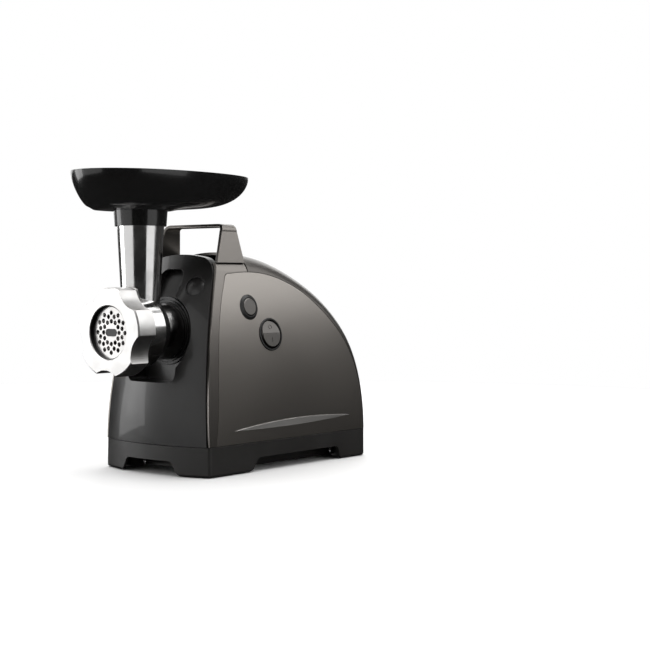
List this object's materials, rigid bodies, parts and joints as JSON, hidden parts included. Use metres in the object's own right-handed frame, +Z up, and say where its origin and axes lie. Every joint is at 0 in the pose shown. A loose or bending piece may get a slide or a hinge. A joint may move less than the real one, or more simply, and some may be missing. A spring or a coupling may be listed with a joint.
{
  "type": "electric meat grinder",
  "caption": "Countertop electric meat grinder with carry handle, boat-shaped hopper tray on a throat tube, lobed ring nut with perforated plate, rocker and round buttons.",
  "frame": {"origin": "on the surface it stands on, under the middle of the whole grinder's box", "axes": "+Z up, -Y towards the mincing head, +X towards the switches"},
  "size_m": [0.16, 0.376, 0.322],
  "materials": {
    "dark_plastic": "fine satin moulding",
    "rubber": "matt rubber",
    "steel": "ground steel",
    "gloss_black": "piano black gloss",
    "warm_grey": "warm grey satin lacquer",
    "gunmetal": "dark gunmetal metallic lacquer",
    "bright_trim": "bright satin",
    "black_plastic": "satin black",
    "button_grey": "satin grey lacquer",
    "cast_aluminium": "polished cast aluminium",
    "nylon": "natural nylon",
    "nylon_dark": "glass filled nylon",
    "lamination": "stamped laminations",
    "copper": "enamelled copper",
    "brass": "brass"
  },
  "bodies": {
    "housing": {"base_housing": "dark_plastic", "bottom_plate": "dark_plastic", "rubber_feet": "rubber", "bottom_screws": "steel", "front_cover": "gloss_black", "band_right": "warm_grey", "band_left": "warm_grey", "carry_handle": "warm_grey", "side_panel_right": "gunmetal", "side_panel_left": "gunmetal", "top_cover": "dark_plastic", "trim_blade_right": "bright_trim", "trim_blade_left": "bright_trim", "reverse_bezel": "black_plastic", "reverse_switch": "black_plastic", "power_bezel": "bright_trim", "power_switch": "black_plastic", "release_bezel": "black_plastic", "head_socket": "black_plastic", "gear_pins": "steel", "gearbox_housing": "nylon_dark", "gearbox_cover": "nylon_dark", "gearbox_screws": "steel", "motor_stator": "lamination", "motor_windings": "copper", "motor_bracket_front": "steel", "motor_bracket_rear": "steel", "motor_bearings": "steel", "brush_holders": "brass", "cord_gland": "rubber"},
    "head": {"head_housing": "cast_aluminium", "auger_bushing": "nylon"},
    "drive": {"auger": "cast_aluminium", "knife": "steel", "output_shaft": "steel", "output_gear": "nylon"},
    "second_gear": {"gear_2": "nylon"},
    "first_gear": {"gear_1": "nylon"},
    "rotor": {"motor_shaft": "steel", "rotor_core": "lamination", "commutator": "copper", "cooling_fan": "black_plastic"},
    "plate": {"perforated_plate": "steel", "plate_bush": "black_plastic"},
    "nut": {"ring_nut": "cast_aluminium"},
    "tray": {"hopper_tray": "gloss_black"},
    "power_rocker": {"power_rocker": "button_grey"},
    "reverse_button": {"reverse_button": "button_grey"},
    "release_button": {"release_button": "gloss_black"}
  },
  "joints": [
    {"name": "drive_spin", "type": "hinge", "parent": "housing", "child": "drive", "pos_m": [0, -0.04, 0.153], "axis": [0, 1, 0], "continuous": true},
    {"name": "second_gear_spin", "type": "hinge", "parent": "housing", "child": "second_gear", "pos_m": [-0.02219, -0.02, 0.10542], "axis": [0, 1, 0], "continuous": true},
    {"name": "first_gear_spin", "type": "hinge", "parent": "housing", "child": "first_gear", "pos_m": [0.01352, -0.01, 0.08882], "axis": [0, 1, 0], "continuous": true},
    {"name": "motor_spin", "type": "hinge", "parent": "housing", "child": "rotor", "pos_m": [0.00001, 0.06, 0.05653], "axis": [0, 1, 0], "continuous": true},
    {"name": "head_twist", "type": "hinge", "parent": "housing", "child": "head", "pos_m": [0, -0.06, 0.153], "axis": [0, 1, 0], "range_deg": [0, 40]},
    {"name": "tray_lift", "type": "slide", "parent": "head", "child": "tray", "axis": [0, 0, 1], "range_m": [0, 0.05]},
    {"name": "nut_unscrew", "type": "hinge", "parent": "plate", "child": "nut", "pos_m": [0, -0.14, 0.153], "axis": [0, 1, 0], "range_deg": [0, 720]},
    {"name": "plate_out", "type": "slide", "parent": "head", "child": "plate", "axis": [0, -1, 0], "range_m": [0, 0.01]},
    {"name": "power_rock", "type": "hinge", "parent": "housing", "child": "power_rocker", "pos_m": [0.06226, 0.0253, 0.14695], "axis": [0, 1, 0], "range_deg": [0, 12]},
    {"name": "reverse_press", "type": "slide", "parent": "housing", "child": "reverse_button", "axis": [-0.982, 0, -0.1891], "range_m": [0, 0.003], "stiffness_N_per_m": 600, "springref_m": -0.002},
    {"name": "release_press", "type": "slide", "parent": "housing", "child": "release_button", "axis": [-0.31, 0.8517, -0.4226], "range_m": [0, 0.004], "stiffness_N_per_m": 600, "springref_m": -0.002}
  ],
  "couplings": [
    {"joint": "first_gear_spin", "follows": "motor_spin", "ratio": -0.25},
    {"joint": "second_gear_spin", "follows": "motor_spin", "ratio": 0.071429},
    {"joint": "drive_spin", "follows": "motor_spin", "ratio": -0.017857},
    {"joint": "plate_out", "follows": "nut_unscrew", "m_per_rad": 0.00079577}
  ]
}
